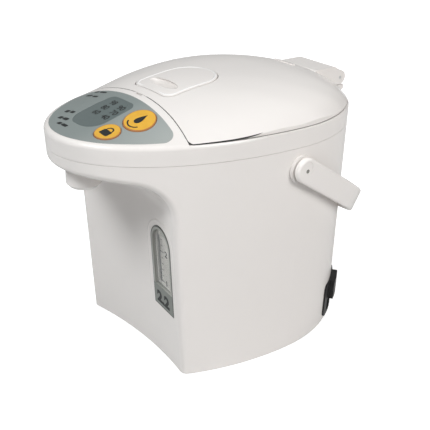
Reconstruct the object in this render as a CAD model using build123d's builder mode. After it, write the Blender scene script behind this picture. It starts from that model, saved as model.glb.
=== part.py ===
"""Electric thermo pot: an egg-shaped body with a pouring hood, a hinged lid and a carrying handle.

Frame: millimetres, +Z up, front (pouring side) towards -Y, +X to the right of someone who
stands behind the pot. The origin is on the surface that the pot stands on, under the middle
of its outer box. The pieces are laid out from the widest point of the egg-shaped plan, and
save() moves each one by frame_shift.
"""
import os
from math import cos, hypot, radians, sin, sqrt

from build123d import *

os.makedirs("parts", exist_ok=True)

# ---------------------------------------------------------------- driving dimensions
# Egg-shaped plan: two half ellipses that share their width. The wall has a slight draft.
half_width_floor = 91.1
half_width_draft = 0.0195
back_depth_floor = 112.2
back_depth_draft = -0.0157
front_depth_floor = 157.1
front_depth_draft = 0.0763

frame_shift = 23.4

wall = 2.5
shell_bottom = 1.0
seam_height = 191.5
seam_gap = 0.3
rim_height = 207.6
lid_inset = 2.1
lid_gap = 0.7

# Crown: the dome that the hood top and the lid share.
crown_rise = 27.4
crown_fullness = 2.94
crown_softness_side = 0.60
crown_softness_back = 0.83
crown_softness_front = 2.12
crown_limit = 0.985
crown_floor = 100.0
crown_stations = (-178, -165, -148, -128, -104, -76, -46, -18, 4, 26, 50, 72, 90, 103, 113)

# Front face: concave about a vertical axis in front of the pot, leaning forwards, with a
# large sweep into the underside of the hood.
face_axis_y = -423.0
face_floor_y = -91.6
face_lean = 0.0763
sweep_radius = 32.0
underside_back_z = 172.1
underside_front_z = 181.0
underside_front_y = -180.0
face_corner_radius = 6.0

# Front edge of the lid and the control panel behind the hood's rim.
lid_front_y = -94.0
lid_front_side_y = -101.5
panel_gap_to_lid = 6.0
panel_inset = 5.5
panel_front_inset = 4.3
panel_corner_radius = 9.0
panel_thickness = 0.8
panel_proud = 0.2

# Keys on the panel: centre x, centre y, radius.
pour_key = (33.0, -116.3, 12.8)
lock_key = (27.5, -141.5, 10.3)
key_travel = 0.8
key_gap = 0.35
key_proud = 1.0
display_centre = (-3.5, -128.5)
display_size = (35.0, 42.0)
display_corner_radius = 15.0
board_height = 197.2

# Inner container and what stands around it.
container_y = 18.0
container_radius = 71.0
container_wall = 1.0
container_bottom = 50.0
container_top = 196.0
container_corner = 8.0
mouth_radius = 69.0
deck_bottom = 199.0
deck_top = 201.5

# Pump under the container.
pump_x = 28.5
pump_y = -16.0

# Riser with the level gauge.
gauge_x = 43.0
riser_y = -87.0
gauge_width = 33.0
gauge_bottom = 51.0
gauge_top = 129.0

# Spout.
spout_y = -147.0
spout_radius = 14.0
spout_bottom = 160.5
spout_edge = 3.0

# Handle.
pivot_y = -3.0
pivot_z = 173.5
handle_rest_angle = 31.9
handle_half_width = 103.0
handle_thickness = 5.6
handle_band = 21.4
handle_edge_radius = 2.0
arm_radius = 280.0
arm_turn = 17.0
shoulder_radius = 88.7
shoulder_turn = 47.0
boss_radius = 12.0

# Hinge of the lid.
hinge_y = 112.0
hinge_z = 214.2
hinge_half_width = 22.6
hinge_radius = 6.5
hinge_pin_radius = 1.5

# Lever that opens the lid.
lever_front_y = -85.0
lever_back_y = -22.6
lever_half_width = 25.0
lever_corner_radius = 9.0
lever_pin_y = -26.5
lever_pin_z = 232.0
lever_gap = 0.8

knuckle_half = 9.0
knuckle_radius = 4.2
hinge_seat_profile = ((100, 206.8), (117.3, 206.8), (117.3, 203.5), (105.5, 194.5), (100, 194.5))

# Top frame: the roof of the hood, the rim around the lid and the skirt inside the body shell.
roof = 2.5
frame_rim = 206.9
frame_rim_radius = 4.0
skirt_bottom = 184.5
board_thickness = 1.6
roof_posts = ((54, -120), (-54, -120), (4, -157), (-3, -100.5))
tongue_half = 3.5
key_depth = 3.4
stem_foot = 204.0
switch_top = 202.9
groove_span = (-95.7, -93.0)
groove_foot = 206.0

# Lid: its underside sits in the recess of the frame.
lid_floor = 207.6
lid_wall = 2.5
lid_edge_radius = 1.0
lid_corner_radius = 8.0
underside_bottom = 205.2
plug_radius = 61.0
lid_posts = ((68, -50), (-68, -50), (64, 68), (-64, 68))
vent_y = 62.0
well_depth = 7.0
lever_depth = 4.0
lever_proud = 0.6
duct_radius = 7.0
tongue_foot = 209.0
tongue_top = 216.0
hump_profile = ((78, 207.7), (78, 225), (104, 225), (117.5, 218), (118.5, 214.2), (112, 207.7))

# Swivel base.
base_radius = 66.0
base_y = 8.0
base_bottom = 1.2
base_top = 4.4
cover_bottom = 6.0
cover_top = 8.4

running_gap = 0.05
fit_gap = 0.15
screw_radius = 1.5
spindle_radius = 9.0
pivot_pin_radius = 4.0
motor_shaft_radius = 1.5
impeller_pin_radius = 1.2

# Where pieces stand inside.
cover_posts = ((84.1, -26.4), (-84.1, -26.4), (-49.0, 86.9), (14.8, 104.5))
support_legs = ((62.5, 40.7), (-62.5, 40.7), (-57.6, -15.3), (57.6, -15.3))
support_bottom = 46.0
shield_radius = 77.0
drain_radius = 6.0
board_posts = ((-52, 38), (8, 38), (-52, 72), (8, 72))
board_bottom = 13.0
board_x = (-56, 12)
board_y = (34, 76)
hose_radius = 6.0
hose_bore = 4.5
hose_elbow = 7.0
hood_pipe_z = 190.3
pump_outlet_z = 37.2
spout_seat_z = 182.5
gauge_height = gauge_top - gauge_bottom
gauge_middle = (gauge_top + gauge_bottom) / 2
gauge_rim = 3.0
gauge_window_foot = -22.0
gauge_slot_x = -8.5

# Mains inlet, low at the right rear: a black moulding that faces out of the wall.
inlet_angle = 38.0
inlet_half = 24.0
inlet_low = 4.5
inlet_depth = 18.0
inlet_high = 38.0
inlet_plane = Plane(
    origin=(66.2, 77.3, 0),
    x_dir=(-sin(radians(inlet_angle)), cos(radians(inlet_angle)), 0),
    z_dir=(cos(radians(inlet_angle)), sin(radians(inlet_angle)), 0),
)

# Plan region behind the front edge of the lid.
region_half = 100.0
region_back = 130.0
lid_corner_x = 75.5


# ---------------------------------------------------------------- shared shapes
def face_radius(z):
    """Distance of the concave front face from its upright axis."""
    return face_floor_y - face_axis_y - face_lean * z


def face_y(x, z):
    return face_axis_y + sqrt(face_radius(z) ** 2 - x**2)


def half_width(z):
    return half_width_floor + half_width_draft * z


def back_depth(z):
    return back_depth_floor + back_depth_draft * z


def front_depth(z):
    return front_depth_floor + front_depth_draft * z


def egg_outline(z, inset):
    """The plan at height z, drawn in by inset, as a sketch at that height."""
    with BuildSketch(Plane.XY.offset(z)) as outline:
        with BuildLine():
            EllipticalCenterArc(
                (0, 0), half_width(z) - inset, back_depth(z) - inset, start_angle=0, arc_size=180
            )
            EllipticalCenterArc(
                (0, 0), half_width(z) - inset, front_depth(z) - inset, start_angle=180, arc_size=180
            )
        make_face()
    return outline.sketch


def egg_loft(bottom, top, inset, mode=Mode.ADD):
    """The drafted egg-shaped block between two heights."""
    return loft([egg_outline(bottom, inset), egg_outline(top, inset)], ruled=True, mode=mode)


def crown(x, y):
    """Height of the crown: full over the middle, falling softly to the rim all round."""
    depth = back_depth(rim_height) if y > 0 else front_depth(rim_height)
    across = x / (half_width(rim_height) - lid_inset)
    along = y / (depth - lid_inset)
    gauge = hypot(across, along)
    towards_end = (along / max(gauge, 1e-6)) ** 2
    end_softness = crown_softness_back if y > 0 else crown_softness_front
    softness = crown_softness_side * (1 - towards_end) + end_softness * towards_end
    inner = min(gauge, crown_limit)
    left = 1 - inner**crown_fullness
    height = crown_rise * left**softness
    slope = height * softness * crown_fullness * inner ** (crown_fullness - 1) / left
    return rim_height + height - slope * (gauge - inner)


def crown_section(y):
    """The crown cut across at y, closed well below the rim."""
    half = half_width_floor + 8
    count = 16
    across = [half * (2 * i / count - 1) for i in range(count + 1)]
    with BuildSketch(Plane.XZ.offset(-y)) as section:
        with BuildLine():
            top = Spline(*[(x, crown(x, y)) for x in across])
            Polyline(top @ 1, (half, crown_floor), (-half, crown_floor), top @ 0)
        make_face()
    return section.sketch


crown_block = loft([crown_section(y) for y in crown_stations])


def crown_sheet(low, high):
    """The layer between two heights measured straight up and down from the crown."""
    top = crown_block.moved(Location((0, 0, high)))
    return top - crown_block.moved(Location((0, 0, low)))


def under_crown(height):
    """Everything under the crown raised by height."""
    return crown_block.moved(Location((0, 0, height)))


def cup_space(offset):
    """The space in front of the body and under the hood, grown by offset."""
    far_y = face_axis_y + 8
    corner_y = face_floor_y - face_lean * underside_back_z
    with BuildPart() as space:
        with BuildSketch(Plane.YZ) as profile:
            with BuildLine():
                Polyline(
                    (far_y, -5),
                    (face_floor_y + offset, -5),
                    (corner_y + offset, underside_back_z + offset),
                    (underside_front_y, underside_front_z + offset),
                    (far_y, underside_front_z + offset),
                    close=True,
                )
            make_face()
            corner = profile.vertices().sort_by_distance(
                Vector(corner_y + offset, underside_back_z + offset)
            )
            fillet(corner[0], sweep_radius + offset)
        revolve(axis=Axis((0, face_axis_y, 0), (0, 0, 1)), revolution_arc=40)
    return space.part.rotate(Axis((0, face_axis_y, 0), (0, 0, 1)), -20)


def lid_region(shift, bottom):
    """Everything behind the lid's front edge, moved back by shift, as a sketch at that height."""
    side_y = lid_front_y - (lid_front_y - lid_front_side_y) * (region_half / lid_corner_x) ** 2
    with BuildSketch(Plane.XY.offset(bottom)) as region:
        with BuildLine():
            ThreePointArc(
                (-region_half, side_y + shift), (0, lid_front_y + shift), (region_half, side_y + shift)
            )
            Polyline(
                (region_half, side_y + shift),
                (region_half, region_back),
                (-region_half, region_back),
                (-region_half, side_y + shift),
            )
        make_face()
    return region.sketch


def behind_lid_line(shift, bottom, top, mode=Mode.ADD):
    return extrude(lid_region(shift, bottom), amount=top - bottom, mode=mode)


def disc(bottom, top, radius, centre=(0, 0), mode=Mode.ADD):
    """An upright cylinder between two heights."""
    with BuildSketch(Plane.XY.offset(bottom)) as circle:
        with Locations(centre):
            Circle(radius)
    return extrude(circle.sketch, amount=top - bottom, mode=mode)


def block(x_span, y_span, z_span, mode=Mode.ADD):
    """A box given by its low and high sides along each axis."""
    with BuildSketch(Plane.XY.offset(z_span[0])) as base:
        with Locations((sum(x_span) / 2, sum(y_span) / 2)):
            Rectangle(x_span[1] - x_span[0], y_span[1] - y_span[0])
    return extrude(base.sketch, amount=z_span[1] - z_span[0], mode=mode)


def rod_x(x_low, x_high, centre, radius, mode=Mode.ADD):
    """A cylinder along X about the point (y, z)."""
    with BuildSketch(Plane.YZ.offset(x_low)) as circle:
        with Locations(centre):
            Circle(radius)
    return extrude(circle.sketch, amount=x_high - x_low, mode=mode)


def prism_x(points, x_low, x_high, mode=Mode.ADD):
    """A prism along X whose section is a polygon of (y, z) points."""
    with BuildSketch(Plane.YZ.offset(x_low)) as section:
        with BuildLine():
            Polyline(*points, close=True)
        make_face()
    return extrude(section.sketch, amount=x_high - x_low, mode=mode)


def pipe(points, elbow, outer, inner, mode=Mode.ADD):
    """A round pipe along straight runs, each corner cut off by a short slanting run."""
    corners = [Vector(point) for point in points]
    route = [corners[0]]
    for before, corner, after in zip(corners, corners[1:], corners[2:]):
        route.append(corner + (before - corner).normalized() * elbow)
        route.append(corner + (after - corner).normalized() * elbow)
    route.append(corners[-1])
    with BuildLine() as path:
        Polyline(*route)
    start = Plane(origin=path.wire() @ 0, z_dir=path.wire() % 0)
    with BuildSketch(start) as section:
        Circle(outer)
        Circle(inner, mode=Mode.SUBTRACT)
    return sweep(section.sketch, path=path.wire(), transition=Transition.RIGHT, mode=mode)


def save(name, piece):
    """Move a finished piece into the pot's own frame, name it and write it."""
    placed = piece.part.moved(Location((0, frame_shift, 0)))
    placed.label = name
    export_step(placed, f"parts/{name}.step")


# ---------------------------------------------------------------- body shell
spout_centre = (0, spout_y)
with BuildPart() as body_cavity:
    egg_loft(shell_bottom - 1, seam_height + 1, wall)
    add(cup_space(wall), mode=Mode.SUBTRACT)
    disc(160, spout_seat_z, spout_radius + 3.5, spout_centre, mode=Mode.SUBTRACT)
    for post in cover_posts:
        disc(cover_top, cover_top + 18, 4, post, mode=Mode.SUBTRACT)

gauge_normal = (
    -gauge_x / face_radius(gauge_middle),
    -sqrt(1 - (gauge_x / face_radius(gauge_middle)) ** 2),
    -face_lean,
)
gauge_plane = Plane(
    origin=(gauge_x, face_y(gauge_x, gauge_middle), gauge_middle),
    x_dir=(-gauge_normal[1], gauge_normal[0], 0),
    z_dir=gauge_normal,
)


def gauge_arch(margin, depth, foot):
    """The arched outline of the gauge, grown by margin, on a plane depth outside the face."""
    half = gauge_width / 2 + margin
    centre_y = gauge_height / 2 - gauge_width / 2
    with BuildSketch(gauge_plane.offset(depth)) as arch:
        with BuildLine():
            CenterArc((0, centre_y), half, 0, 180)
            Polyline((-half, centre_y), (-half, foot - margin), (half, foot - margin), (half, centre_y))
        make_face()
    return arch.sketch


def inlet_outline(half, low, high, corner, depth):
    """A rounded window on the inlet's upright plane."""
    with BuildSketch(inlet_plane.offset(depth)) as window:
        with Locations((0, (low + high) / 2)):
            RectangleRounded(2 * half, high - low, corner)
    return window.sketch


with BuildPart() as body_shell:
    egg_loft(shell_bottom, seam_height, 0)
    add(cup_space(0), mode=Mode.SUBTRACT)
    face_corners = [
        edge
        for edge in body_shell.edges()
        if edge.length > 100 and abs(abs(edge.center().X) - 70.5) < 3 and edge.center().Y < -90
    ]
    fillet(face_corners, face_corner_radius)
    add(body_cavity.part, mode=Mode.SUBTRACT)
    disc(150, 190, spout_radius + fit_gap, spout_centre, mode=Mode.SUBTRACT)
    for post in cover_posts:
        disc(cover_top - 1, cover_top + 12, screw_radius, post, mode=Mode.SUBTRACT)
    extrude(gauge_arch(fit_gap, 5, -gauge_height / 2), amount=-12, mode=Mode.SUBTRACT)
    extrude(
        inlet_outline(inlet_half + fit_gap, inlet_low - fit_gap, inlet_high + fit_gap, 5, 12),
        amount=-30,
        mode=Mode.SUBTRACT,
    )
    for side in (-1, 1):
        rod_x(side * 85, side * 100, (pivot_y, pivot_z), pivot_pin_radius, mode=Mode.SUBTRACT)

save("body_shell", body_shell)

# ---------------------------------------------------------------- bottom and swivel base
with BuildPart() as swivel_base:
    disc(base_bottom, base_top, base_radius, (0, base_y))
    disc(base_top, cover_top + 0.4, spindle_radius, (0, base_y))
    disc(base_bottom, 3, 40, (0, base_y), mode=Mode.SUBTRACT)
    disc(base_bottom, base_top, 6, (0, base_y), mode=Mode.SUBTRACT)
    disc(base_top, cover_top + 0.4, screw_radius, (0, base_y), mode=Mode.SUBTRACT)
    chamfer(swivel_base.edges().filter_by(GeomType.CIRCLE).sort_by(SortBy.RADIUS)[-1], 1)
save("swivel_base", swivel_base)

with BuildPart() as swivel_feet:
    with BuildSketch():
        with Locations((0, base_y)):
            with PolarLocations(base_radius - 11, 4, 45):
                Circle(7)
    extrude(amount=base_bottom)
save("swivel_feet", swivel_feet)

with BuildPart() as glide_ring:
    disc(base_top, cover_bottom - 0.3, 57, (0, base_y))
    disc(base_top, cover_bottom, 51, (0, base_y), mode=Mode.SUBTRACT)
save("glide_ring", glide_ring)

with BuildPart() as spindle_washer:
    disc(cover_top + 0.4, cover_top + 1.8, 13, (0, base_y))
    disc(cover_top + 0.4, cover_top + 1.8, screw_radius, (0, base_y), mode=Mode.SUBTRACT)
save("spindle_washer", spindle_washer)

with BuildPart() as spindle_screw:
    disc(base_top - 1.6, base_top, 3.5, (0, base_y))
    disc(base_top, cover_top + 2.6, screw_radius, (0, base_y))
save("spindle_screw", spindle_screw)

with BuildPart() as bottom_cover:
    egg_loft(cover_bottom, cover_top, wall + fit_gap)
    add(cup_space(wall + fit_gap), mode=Mode.SUBTRACT)
    disc(cover_bottom, cover_top, spindle_radius + running_gap, (0, base_y), mode=Mode.SUBTRACT)
    extrude(
        inlet_outline(inlet_half + fit_gap, inlet_low - fit_gap, inlet_high, 5, 12),
        amount=-inlet_depth - 12 - fit_gap,
        mode=Mode.SUBTRACT,
    )
    for leg in support_legs:
        disc(cover_top, support_bottom, 4.5, leg)
    for post in board_posts:
        disc(cover_top, board_bottom, 3, post)
    for post in cover_posts:
        disc(cover_bottom, cover_top, screw_radius, post, mode=Mode.SUBTRACT)
    vents = [(0, 40 + base_y + 6 * row) for row in range(3)]
    for vent in vents:
        block((-14, 14), (vent[1] - 1, vent[1] + 1), (cover_bottom, cover_top), mode=Mode.SUBTRACT)
save("bottom_cover", bottom_cover)

with BuildPart() as cover_screws:
    for post in cover_posts:
        disc(cover_bottom - 1.6, cover_bottom, 3, post)
        disc(cover_bottom, cover_top + 9, screw_radius, post)
        block(
            (post[0] - 2, post[0] + 2),
            (post[1] - 0.4, post[1] + 0.4),
            (cover_bottom - 1.6, cover_bottom - 0.8),
            mode=Mode.SUBTRACT,
        )
save("cover_screws", cover_screws)

# ---------------------------------------------------------------- water container
container_centre = (0, container_y)
with BuildPart() as water_room:
    disc(container_bottom + container_wall, container_top + 5, container_radius, container_centre)
    chamfer(water_room.edges().sort_by(Axis.Z)[0], container_corner)

with BuildPart() as inner_container:
    disc(container_bottom, container_top, container_radius + container_wall, container_centre)
    chamfer(inner_container.edges().sort_by(Axis.Z)[0], container_corner + 0.6 * container_wall)
    disc(container_top, container_top + container_wall, container_radius + 5, container_centre)
    add(water_room.part, mode=Mode.SUBTRACT)
    disc(container_bottom - 1, container_bottom + 3, drain_radius, (pump_x, pump_y), mode=Mode.SUBTRACT)
save("inner_container", inner_container)

with BuildPart() as container_seal:
    disc(container_top + container_wall, deck_bottom, container_radius + 5, container_centre)
    disc(container_top, deck_bottom, container_radius, container_centre, mode=Mode.SUBTRACT)
save("container_seal", container_seal)

with BuildPart() as container_support:
    disc(support_bottom, container_bottom, shield_radius, container_centre)
    disc(support_bottom, container_bottom, 56, container_centre, mode=Mode.SUBTRACT)
save("container_support", container_support)

with BuildPart() as heat_shield:
    disc(support_bottom, 188, shield_radius + 0.8, container_centre)
    disc(support_bottom, 188, shield_radius, container_centre, mode=Mode.SUBTRACT)
save("heat_shield", heat_shield)

with BuildPart() as band_heater:
    disc(68, 90, container_radius + container_wall + 2.5, container_centre)
    disc(68, 90, container_radius + container_wall, container_centre, mode=Mode.SUBTRACT)
    block((-9, 9), (container_y + 60, container_y + 80), (68, 90), mode=Mode.SUBTRACT)
save("band_heater", band_heater)

with BuildPart() as base_heater:
    disc(container_bottom - 3, container_bottom, 54, container_centre)
    disc(container_bottom - 3, container_bottom, 12, (pump_x, pump_y), mode=Mode.SUBTRACT)
save("base_heater", base_heater)

with BuildPart() as thermal_cutout:
    disc(container_bottom - 8, container_bottom - 3, 8, (-26, 34))
    block((-31, -28), (33, 35), (container_bottom - 14, container_bottom - 8))
    block((-24, -21), (33, 35), (container_bottom - 14, container_bottom - 8))
save("thermal_cutout", thermal_cutout)

with BuildPart() as temperature_sensor:
    disc(container_bottom - 9, container_bottom - 3, 5, (-28, 0))
    disc(container_bottom - 13, container_bottom - 9, 2, (-28, 0))
save("temperature_sensor", temperature_sensor)

# ---------------------------------------------------------------- pump
pump_centre = (pump_x, pump_y)
with BuildPart() as pump_mount:
    disc(cover_top, 10.4, 19, pump_centre)
    disc(cover_top, 10.4, 12, pump_centre, mode=Mode.SUBTRACT)
save("pump_mount", pump_mount)

with BuildPart() as pump_motor:
    disc(10.4, 27, 17, pump_centre)
    chamfer(pump_motor.edges().group_by(Axis.Z)[-1], 1.5)
    disc(20, 27, motor_shaft_radius + running_gap, pump_centre, mode=Mode.SUBTRACT)
save("pump_motor", pump_motor)

with BuildPart() as drive_magnet:
    disc(20.4, 32, motor_shaft_radius, pump_centre)
    disc(28, 32, 12, pump_centre)
save("drive_magnet", drive_magnet)

with BuildPart() as pump_housing:
    disc(32.6, 42, 20, pump_centre)
    with BuildSketch(Plane.XZ.offset(-pump_y)):
        with Locations((gauge_x, pump_outlet_z)):
            Circle(hose_bore)
    extrude(amount=34)
    disc(34, 42, 17, pump_centre, mode=Mode.SUBTRACT)
    with BuildSketch(Plane.XZ.offset(-pump_y)):
        with Locations((gauge_x, pump_outlet_z)):
            Circle(hose_bore - 1.5)
    extrude(amount=34, mode=Mode.SUBTRACT)
    disc(34, 41, impeller_pin_radius, pump_centre)
save("pump_housing", pump_housing)

with BuildPart() as impeller:
    disc(34.5, 36.2, 14, pump_centre)
    disc(34.5, 40.5, 3, pump_centre)
    with BuildSketch(Plane.XY.offset(36.2)):
        with Locations(pump_centre):
            with PolarLocations(8, 6):
                Rectangle(11, 1.4)
    extrude(amount=4)
    disc(34.5, 40.5, impeller_pin_radius + running_gap, pump_centre, mode=Mode.SUBTRACT)
save("impeller", impeller)

with BuildPart() as pump_cover:
    disc(42, 44, 20, pump_centre)
    disc(44, container_bottom + 0.5, drain_radius, pump_centre)
    disc(42, container_bottom + 0.5, drain_radius - 1.5, pump_centre, mode=Mode.SUBTRACT)
save("pump_cover", pump_cover)

# ---------------------------------------------------------------- water path
riser = (gauge_x, riser_y)
hose_start = (gauge_x, pump_y - 24, pump_outlet_z)
with BuildPart() as delivery_hose:
    pipe(
        [hose_start, (*riser, pump_outlet_z), (*riser, 54)],
        hose_elbow,
        hose_radius,
        hose_bore,
    )
save("delivery_hose", delivery_hose)

with BuildPart() as gauge_tube:
    disc(48, 182, hose_bore, riser)
    disc(48, 182, hose_bore - 1.1, riser, mode=Mode.SUBTRACT)
save("gauge_tube", gauge_tube)

with BuildPart() as outlet_hose:
    pipe(
        [(*riser, 176), (*riser, hood_pipe_z), (0, spout_y, hood_pipe_z), (0, spout_y, 176)],
        hose_elbow,
        hose_radius,
        hose_bore,
    )
save("outlet_hose", outlet_hose)

with BuildPart() as spout_cover:
    disc(spout_bottom, spout_seat_z, spout_radius, spout_centre)
    chamfer(spout_cover.edges().group_by(Axis.Z)[0], spout_edge)
    disc(spout_seat_z, spout_seat_z + 1.5, spout_radius + 2.5, spout_centre)
    disc(spout_bottom + 2, spout_seat_z + 1.5, spout_radius - 2, spout_centre, mode=Mode.SUBTRACT)
    disc(spout_bottom, spout_bottom + 2, 7, spout_centre, mode=Mode.SUBTRACT)
save("spout_cover", spout_cover)

with BuildPart() as spout_nozzle:
    disc(spout_bottom + 2, 181, hose_bore, spout_centre)
    disc(173, 175.5, spout_radius - 2, spout_centre)
    disc(spout_bottom + 2, 181, hose_bore - 1.1, spout_centre, mode=Mode.SUBTRACT)
save("spout_nozzle", spout_nozzle)

# ---------------------------------------------------------------- level gauge
with BuildPart() as gauge_frame:
    extrude(gauge_arch(0, 0.8, -gauge_height / 2), amount=-4.2)
    extrude(gauge_arch(-gauge_rim, 1, gauge_window_foot), amount=-6, mode=Mode.SUBTRACT)
save("gauge_frame", gauge_frame)

with BuildPart() as gauge_window:
    extrude(gauge_arch(-gauge_rim, -0.8, gauge_window_foot), amount=-1.4)
save("gauge_window", gauge_window)

with BuildPart() as gauge_plate:
    extrude(gauge_arch(-gauge_rim, -2.2, gauge_window_foot), amount=-0.8)
    with BuildSketch(gauge_plane.offset(-2.2)):
        with Locations((gauge_slot_x, 6)):
            SlotOverall(46, 5, rotation=90)
    extrude(amount=-0.8, mode=Mode.SUBTRACT)
save("gauge_plate", gauge_plate)

# ---------------------------------------------------------------- mains inlet and board
with BuildPart() as inlet_visor:
    egg_loft(0.5, 60, -6)
    extrude(inlet_outline(14, 19, inlet_high, 3, 12), amount=-30, mode=Mode.INTERSECT)

with BuildPart() as inlet_pins:
    with BuildSketch(inlet_plane.offset(-inlet_depth - 3)):
        with Locations((-8, 14), (8, 14)):
            Circle(1.6)
    extrude(amount=14)
save("inlet_pins", inlet_pins)

with BuildPart() as inlet_housing:
    egg_loft(0.5, 60, -1.5)
    extrude(
        inlet_outline(inlet_half, inlet_low, inlet_high, 4.5, 12),
        amount=-inlet_depth - 12,
        mode=Mode.INTERSECT,
    )
    add(inlet_visor.part)
    extrude(inlet_outline(16, inlet_low + 3, 20, 3, 12), amount=-24, mode=Mode.SUBTRACT)
    add(inlet_pins.part, mode=Mode.SUBTRACT)
save("inlet_housing", inlet_housing)

with BuildPart() as power_board:
    block(board_x, board_y, (board_bottom, board_bottom + 1.6))
save("power_board", power_board)

with BuildPart() as power_components:
    part_foot = board_bottom + 1.6
    block((-50, -26), (52, 70), (part_foot, part_foot + 18))
    block((-20, -4), (56, 68), (part_foot, part_foot + 14))
    disc(part_foot, part_foot + 15, 5, (4, 48))
    disc(part_foot, part_foot + 12, 4, (4, 60))
    block((-46, -30), (40, 46), (part_foot, part_foot + 8))
save("power_components", power_components)

# ---------------------------------------------------------------- top frame
with BuildSketch(Plane.XY.offset(rim_height)) as panel_plan:
    Ellipse(half_width(rim_height) - panel_inset, front_depth(rim_height) - panel_front_inset)
    add(lid_region(-panel_gap_to_lid, rim_height), mode=Mode.SUBTRACT)
    fillet(panel_plan.vertices(), panel_corner_radius)
keys = {"pour": pour_key, "lock": lock_key}


def display_outline(inset):
    with BuildSketch(Plane.XY.offset(board_height)) as outline:
        with Locations(display_centre):
            RectangleRounded(
                display_size[0] - 2 * inset,
                display_size[1] - 2 * inset,
                display_corner_radius - inset,
            )
    return outline.sketch


with BuildPart() as hood_cavity:
    egg_loft(seam_height, 245, wall)
    add(under_crown(-roof), mode=Mode.INTERSECT)
    behind_lid_line(-wall, 180, 250, mode=Mode.SUBTRACT)
    for post in roof_posts:
        disc(board_height + board_thickness, 250, 3, post, mode=Mode.SUBTRACT)

with BuildPart() as under_deck:
    egg_loft(seam_height, deck_bottom, wall)
    behind_lid_line(-wall, 180, 250, mode=Mode.INTERSECT)

with BuildPart() as lid_recess:
    egg_loft(deck_top, frame_rim, wall)
    egg_loft(frame_rim, 250, -8)
    behind_lid_line(0, 180, 250, mode=Mode.INTERSECT)

with BuildPart() as frame_skirt:
    egg_loft(skirt_bottom, seam_height + 3, wall)
    egg_loft(skirt_bottom, seam_height + 3, wall + 2, mode=Mode.SUBTRACT)

with BuildPart() as knuckle:
    rod_x(-knuckle_half, knuckle_half, (hinge_y, hinge_z), knuckle_radius)
    block((-knuckle_half, knuckle_half), (hinge_y - 3, hinge_y + 3), (205, hinge_z - 2))
    rod_x(-12, 12, (hinge_y, hinge_z), hinge_pin_radius + running_gap, mode=Mode.SUBTRACT)

with BuildPart() as frame_holes:
    disc(180, 210, mouth_radius, container_centre)
    block((-tongue_half - 0.4, tongue_half + 0.4), groove_span, (groove_foot, 240))
    for x, y, radius in keys.values():
        disc(200, 240, radius + key_gap, (x, y))
    extrude(display_outline(3), amount=40)
    for post in roof_posts:
        disc(board_height, board_height + 7, screw_radius, post)

with BuildPart() as top_frame:
    egg_loft(seam_height + seam_gap, 245, 0)
    add(under_crown(0), mode=Mode.INTERSECT)
    rim_edges = [
        edge
        for edge in top_frame.edges()
        if edge.center().Z > rim_height - 12 and edge.length > 50
    ]
    fillet(rim_edges, frame_rim_radius)
    prism_x(hinge_seat_profile, -hinge_half_width, hinge_half_width)
    add(hood_cavity.part, mode=Mode.SUBTRACT)
    add(under_deck.part, mode=Mode.SUBTRACT)
    add(lid_recess.part, mode=Mode.SUBTRACT)
    add(knuckle.part)
    add(frame_holes.part, mode=Mode.SUBTRACT)
    add(frame_skirt.part)

panel_prism = extrude(panel_plan.sketch, amount=40) + extrude(panel_plan.sketch, amount=-15)
with BuildPart() as panel_room:
    add(panel_prism & crown_sheet(panel_proud - panel_thickness, 12))
top_frame.part = top_frame.part - panel_room.part
save("top_frame", top_frame)

with BuildPart() as panel_holes:
    for x, y, radius in keys.values():
        disc(195, 240, radius + key_gap, (x, y))
    extrude(display_outline(0), amount=40)

panel_layer = crown_sheet(panel_proud - panel_thickness, panel_proud)
with BuildPart() as control_panel:
    add(panel_prism & panel_layer)
    add(panel_holes.part, mode=Mode.SUBTRACT)
save("control_panel", control_panel)

with BuildPart() as display_window:
    extrude(display_outline(0), amount=40)
    add(panel_layer, mode=Mode.INTERSECT)
save("display_window", display_window)

# ---------------------------------------------------------------- control board and keys
board_top = board_height + board_thickness
with BuildPart() as control_board:
    extrude(egg_outline(board_height, 9), amount=board_thickness)
    block((-59, 59), (-162, -98), (board_height, board_top), mode=Mode.INTERSECT)
    for post in roof_posts:
        disc(board_height, board_top, screw_radius, post, mode=Mode.SUBTRACT)
save("control_board", control_board)

with BuildPart() as board_screws:
    for post in roof_posts:
        disc(board_height - 1.4, board_height, 2.8, post)
        disc(board_height, board_height + 6, screw_radius, post)
save("board_screws", board_screws)

with BuildPart() as key_switches:
    for x, y, radius in keys.values():
        block((x - 3, x + 3), (y - 3, y + 3), (board_top, board_top + 2.6))
        disc(board_top + 2.6, switch_top, 1.6, (x, y))
save("key_switches", key_switches)

with BuildPart() as display_module:
    block((-17, 12), (-148, -108), (204, 206))
    block((-12, 6), (-135, -120), (board_top, 204))
save("display_module", display_module)


cap_layer = crown_sheet(-key_depth, key_proud)
collar_layer = crown_sheet(-key_depth, -roof - key_gap)


def key(x, y, radius):
    """A key: cap through the roof, collar under the roof and stem above the switch."""
    with BuildPart() as cap:
        disc(195, 240, radius, (x, y))
        add(cap_layer, mode=Mode.INTERSECT)
        fillet(cap.faces().sort_by(Axis.Z)[-1].edges(), 0.5)
    with BuildPart() as collar:
        disc(195, 240, radius + 1.2, (x, y))
        add(collar_layer, mode=Mode.INTERSECT)
    with BuildPart() as stem:
        disc(stem_foot, crown(x, y) - key_depth + 0.5, 2.2, (x, y))
    return cap.part + collar.part + stem.part


for name, centre in keys.items():
    with BuildPart() as moving_key:
        add(key(*centre))
    save(f"{name}_key", moving_key)

# ---------------------------------------------------------------- lid
def lever_outline(grow):
    """Plan of the lever: rounded front corners and a nearly half-round rear."""
    half = lever_half_width + grow
    with BuildSketch(Plane.XY.offset(lid_floor)) as outline:
        with BuildLine():
            ThreePointArc((-half, -44), (0, lever_back_y + grow), (half, -44))
            Polyline((half, -44), (half, lever_front_y - grow), (-half, lever_front_y - grow), (-half, -44))
        make_face()
        fillet(outline.vertices().group_by(Axis.Y)[0], lever_corner_radius + grow)
    return outline.sketch


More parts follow.
